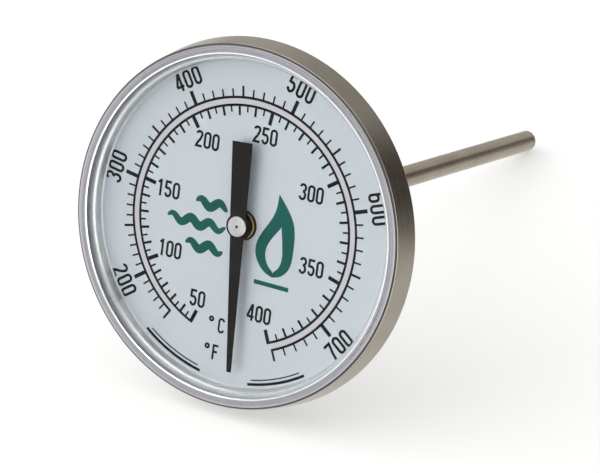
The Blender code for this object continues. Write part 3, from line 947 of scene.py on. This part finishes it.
UP = Vector((0.016, -0.26, 0.964)).normalized()
CAMERA_FORWARD = Vector((-0.4538, 0.8568, -0.2449)).normalized()
CAMERA_UP = Vector((-0.2295, 0.1532, 0.9612))
CAMERA_PLACE = Vector((331.0, -608.0, 172.2)) * MM
CAMERA_LENS = 210.0

# Parts of the room: (direction, outer and inner angle in degrees, linear colour). Each is laid
# over those before it. A colour above 1 is brighter than white.
SOFT_LIGHT = (0.95, 0.95, 0.95)
LIGHT_PARTS = [((-0.75, -0.58, 0.32), 52, 20, (5.0, 5.0, 5.0)), (UP, 50, 20, (1.5, 1.5, 1.5))]

# The rest is seen only in gloss.
IN_FRONT = (1.15, 1.14, 1.20)
BEHIND = (0.92, 0.90, 0.88)
UNDER_FRONT = (-UP, 94, 84, (1.5, 1.5, 1.55))
OVERHEAD = (UP, 80, 64, (0.52, 0.515, 0.50))
UNDER_BEHIND = (1.0, 0.99, 0.97)
HORIZON_BEHIND = (0.12, 0.10, 0.085)
DARK_THING = (0.045, 0.034, 0.027)
BRIGHT_THING = (3.0, 3.0, 3.0)
THINGS = [((0.66, 0.685, 0.29), 30, 9, DARK_THING),
          ((-0.454, -0.857, -0.245), 10, 6, DARK_THING),
          ((-0.03, -0.40, 0.92), 40, 26, BRIGHT_THING),
          ((0.86, -0.45, -0.20), 46, 30, BRIGHT_THING)]


def floor():
    """A softly glowing pale floor under the rim and the stem's tip.

    It is clear from below and in gloss, where the room's own colours are seen instead.
    """
    rim = Vector((0, BAND_BACK_Y - SHEET, -HEAD_RADIUS))
    tip = Vector((0, PLUG_HIGH.y - TIP_NOSE, -STEM_RADIUS))
    slope = (tip.z - rim.z) / (tip.y - rim.y)
    drop = 0.1 * MM
    half, steps = 2.0, 20
    mesh_edit = bmesh.new()
    bmesh.ops.create_grid(mesh_edit, x_segments=steps, y_segments=steps, size=half)
    for v in mesh_edit.verts:
        v.co.z = rim.z - drop + slope * (v.co.y - rim.y)
    mesh = bpy.data.meshes.new("floor")
    mesh_edit.to_mesh(mesh)
    mesh_edit.free()
    material, shader = principled("floor_paper", 0.0, 0.8, Emission_Strength=0.48)
    shader.inputs["Emission Color"].default_value = (1.0, 1.0, 0.99, 1.0)
    grain = noise(material, object_place(material), 220.0, 3.0)
    feed(material, shader, Base_Color=blended(material, grain, (0.31, 0.31, 0.305),
                                              (0.32, 0.32, 0.315)))
    clear = add(material, "ShaderNodeBsdfTransparent")
    geometry = add(material, "ShaderNodeNewGeometry")
    mix = add(material, "ShaderNodeMixShader")
    gloss = add(material, "ShaderNodeLightPath").outputs["Is Glossy Ray"]
    unseen = calculated(material, "MAXIMUM", geometry.outputs["Backfacing"], gloss)
    for socket, value in zip(mix.inputs, (unseen, shader.outputs[0], clear.outputs[0])):
        put(material, socket, value)
    surface = material.node_tree.nodes["Material Output"].inputs["Surface"]
    put(material, surface, mix.outputs[0])
    mesh.materials.append(material)
    made = bpy.data.objects.new("floor", mesh)
    bpy.context.scene.collection.objects.link(made)


def towards(world, direction, outer, inner):
    """0 beyond the outer angle from a direction, rising smoothly to 1 within the inner one."""
    place = add(world, "ShaderNodeTexCoord").outputs["Generated"]
    dot = add(world, "ShaderNodeVectorMath", {"operation": "DOT_PRODUCT"})
    world.node_tree.links.new(place, dot.inputs[0])
    dot.inputs[1].default_value = Vector(direction).normalized()
    node = add(world, "ShaderNodeMapRange", {"interpolation_type": "SMOOTHSTEP"},
               Value=dot.outputs["Value"], From_Min=math.cos(math.radians(outer)),
               From_Max=math.cos(math.radians(inner)), To_Min=0.0, To_Max=1.0)
    return node.outputs[0]


def laid_over(world, colour, direction, outer, inner, part_colour):
    """The colour with one part of the room laid over it."""
    return blended(world, towards(world, direction, outer, inner), colour, part_colour)


def surroundings():
    """Plain white for the camera, soft light for surfaces, and a room that only gloss sees.

    The light is strongest from the front left. Dark and bright things in the room shape the
    steel's reflections.
    """
    world = bpy.data.worlds.new("surroundings")
    world.use_nodes = True
    tree = world.node_tree
    tree.nodes.clear()
    light = SOFT_LIGHT
    for part in LIGHT_PARTS:
        light = laid_over(world, light, *part)
    behind = towards(world, (0, 1, 0), 85, 60)
    below = calculated(world, "MULTIPLY", behind, towards(world, -UP, 90, 84))
    horizon = calculated(world, "SUBTRACT", towards(world, UP, 93, 89),
                         towards(world, UP, 88, 84))
    horizon = calculated(world, "MULTIPLY", behind, horizon)
    seen = laid_over(world, IN_FRONT, *UNDER_FRONT)
    seen = blended(world, behind, seen, BEHIND)
    seen = laid_over(world, seen, *OVERHEAD)
    seen = blended(world, below, seen, UNDER_BEHIND)
    seen = blended(world, horizon, seen, HORIZON_BEHIND)
    for thing in THINGS:
        seen = laid_over(world, seen, *thing)
    rays = add(world, "ShaderNodeLightPath").outputs
    not_scattered = calculated(world, "LESS_THAN", rays["Diffuse Depth"], 0.5)
    mirrored = calculated(world, "MULTIPLY", rays["Is Glossy Ray"], not_scattered)
    colour = blended(world, mirrored, light, seen)
    colour = blended(world, rays["Is Camera Ray"], colour, (1.0, 1.0, 1.0))
    background = add(world, "ShaderNodeBackground", Color=colour, Strength=1.0)
    output = add(world, "ShaderNodeOutputWorld")
    tree.links.new(background.outputs[0], output.inputs["Surface"])
    bpy.context.scene.world = world


def camera():
    data = bpy.data.cameras.new("camera")
    data.sensor_width = 36.0
    data.lens = CAMERA_LENS
    data.clip_start, data.clip_end = 0.01, 20.0
    made = bpy.data.objects.new("camera", data)
    right = CAMERA_FORWARD.cross(CAMERA_UP).normalized()
    up = right.cross(CAMERA_FORWARD)
    turn = Matrix((right, up, -CAMERA_FORWARD)).transposed()
    made.matrix_world = Matrix.Translation(CAMERA_PLACE) @ turn.to_4x4()
    bpy.context.scene.collection.objects.link(made)
    bpy.context.scene.camera = made


def main():
    head = (rolled_bezel, edge_seal, glass_window, dished_dial, case_pan)
    stem = (turned_neck, drawn_tube, welded_tip, rubber_washer, hexagon_nut, brass_bearing)
    pointer = (brass_hub, pointer_blade, turned_cap)
    dial_print = (fahrenheit_scale, celsius_scale, pale_ring, unit_marks, heat_waves, flame_mark,
                  foot_ornament)
    for make in head + stem + pointer + dial_print:
        make()
    dress_cad_nodes()
    floor()
    surroundings()
    camera()
    bpy.context.scene.view_settings.view_transform = "Standard"


main()
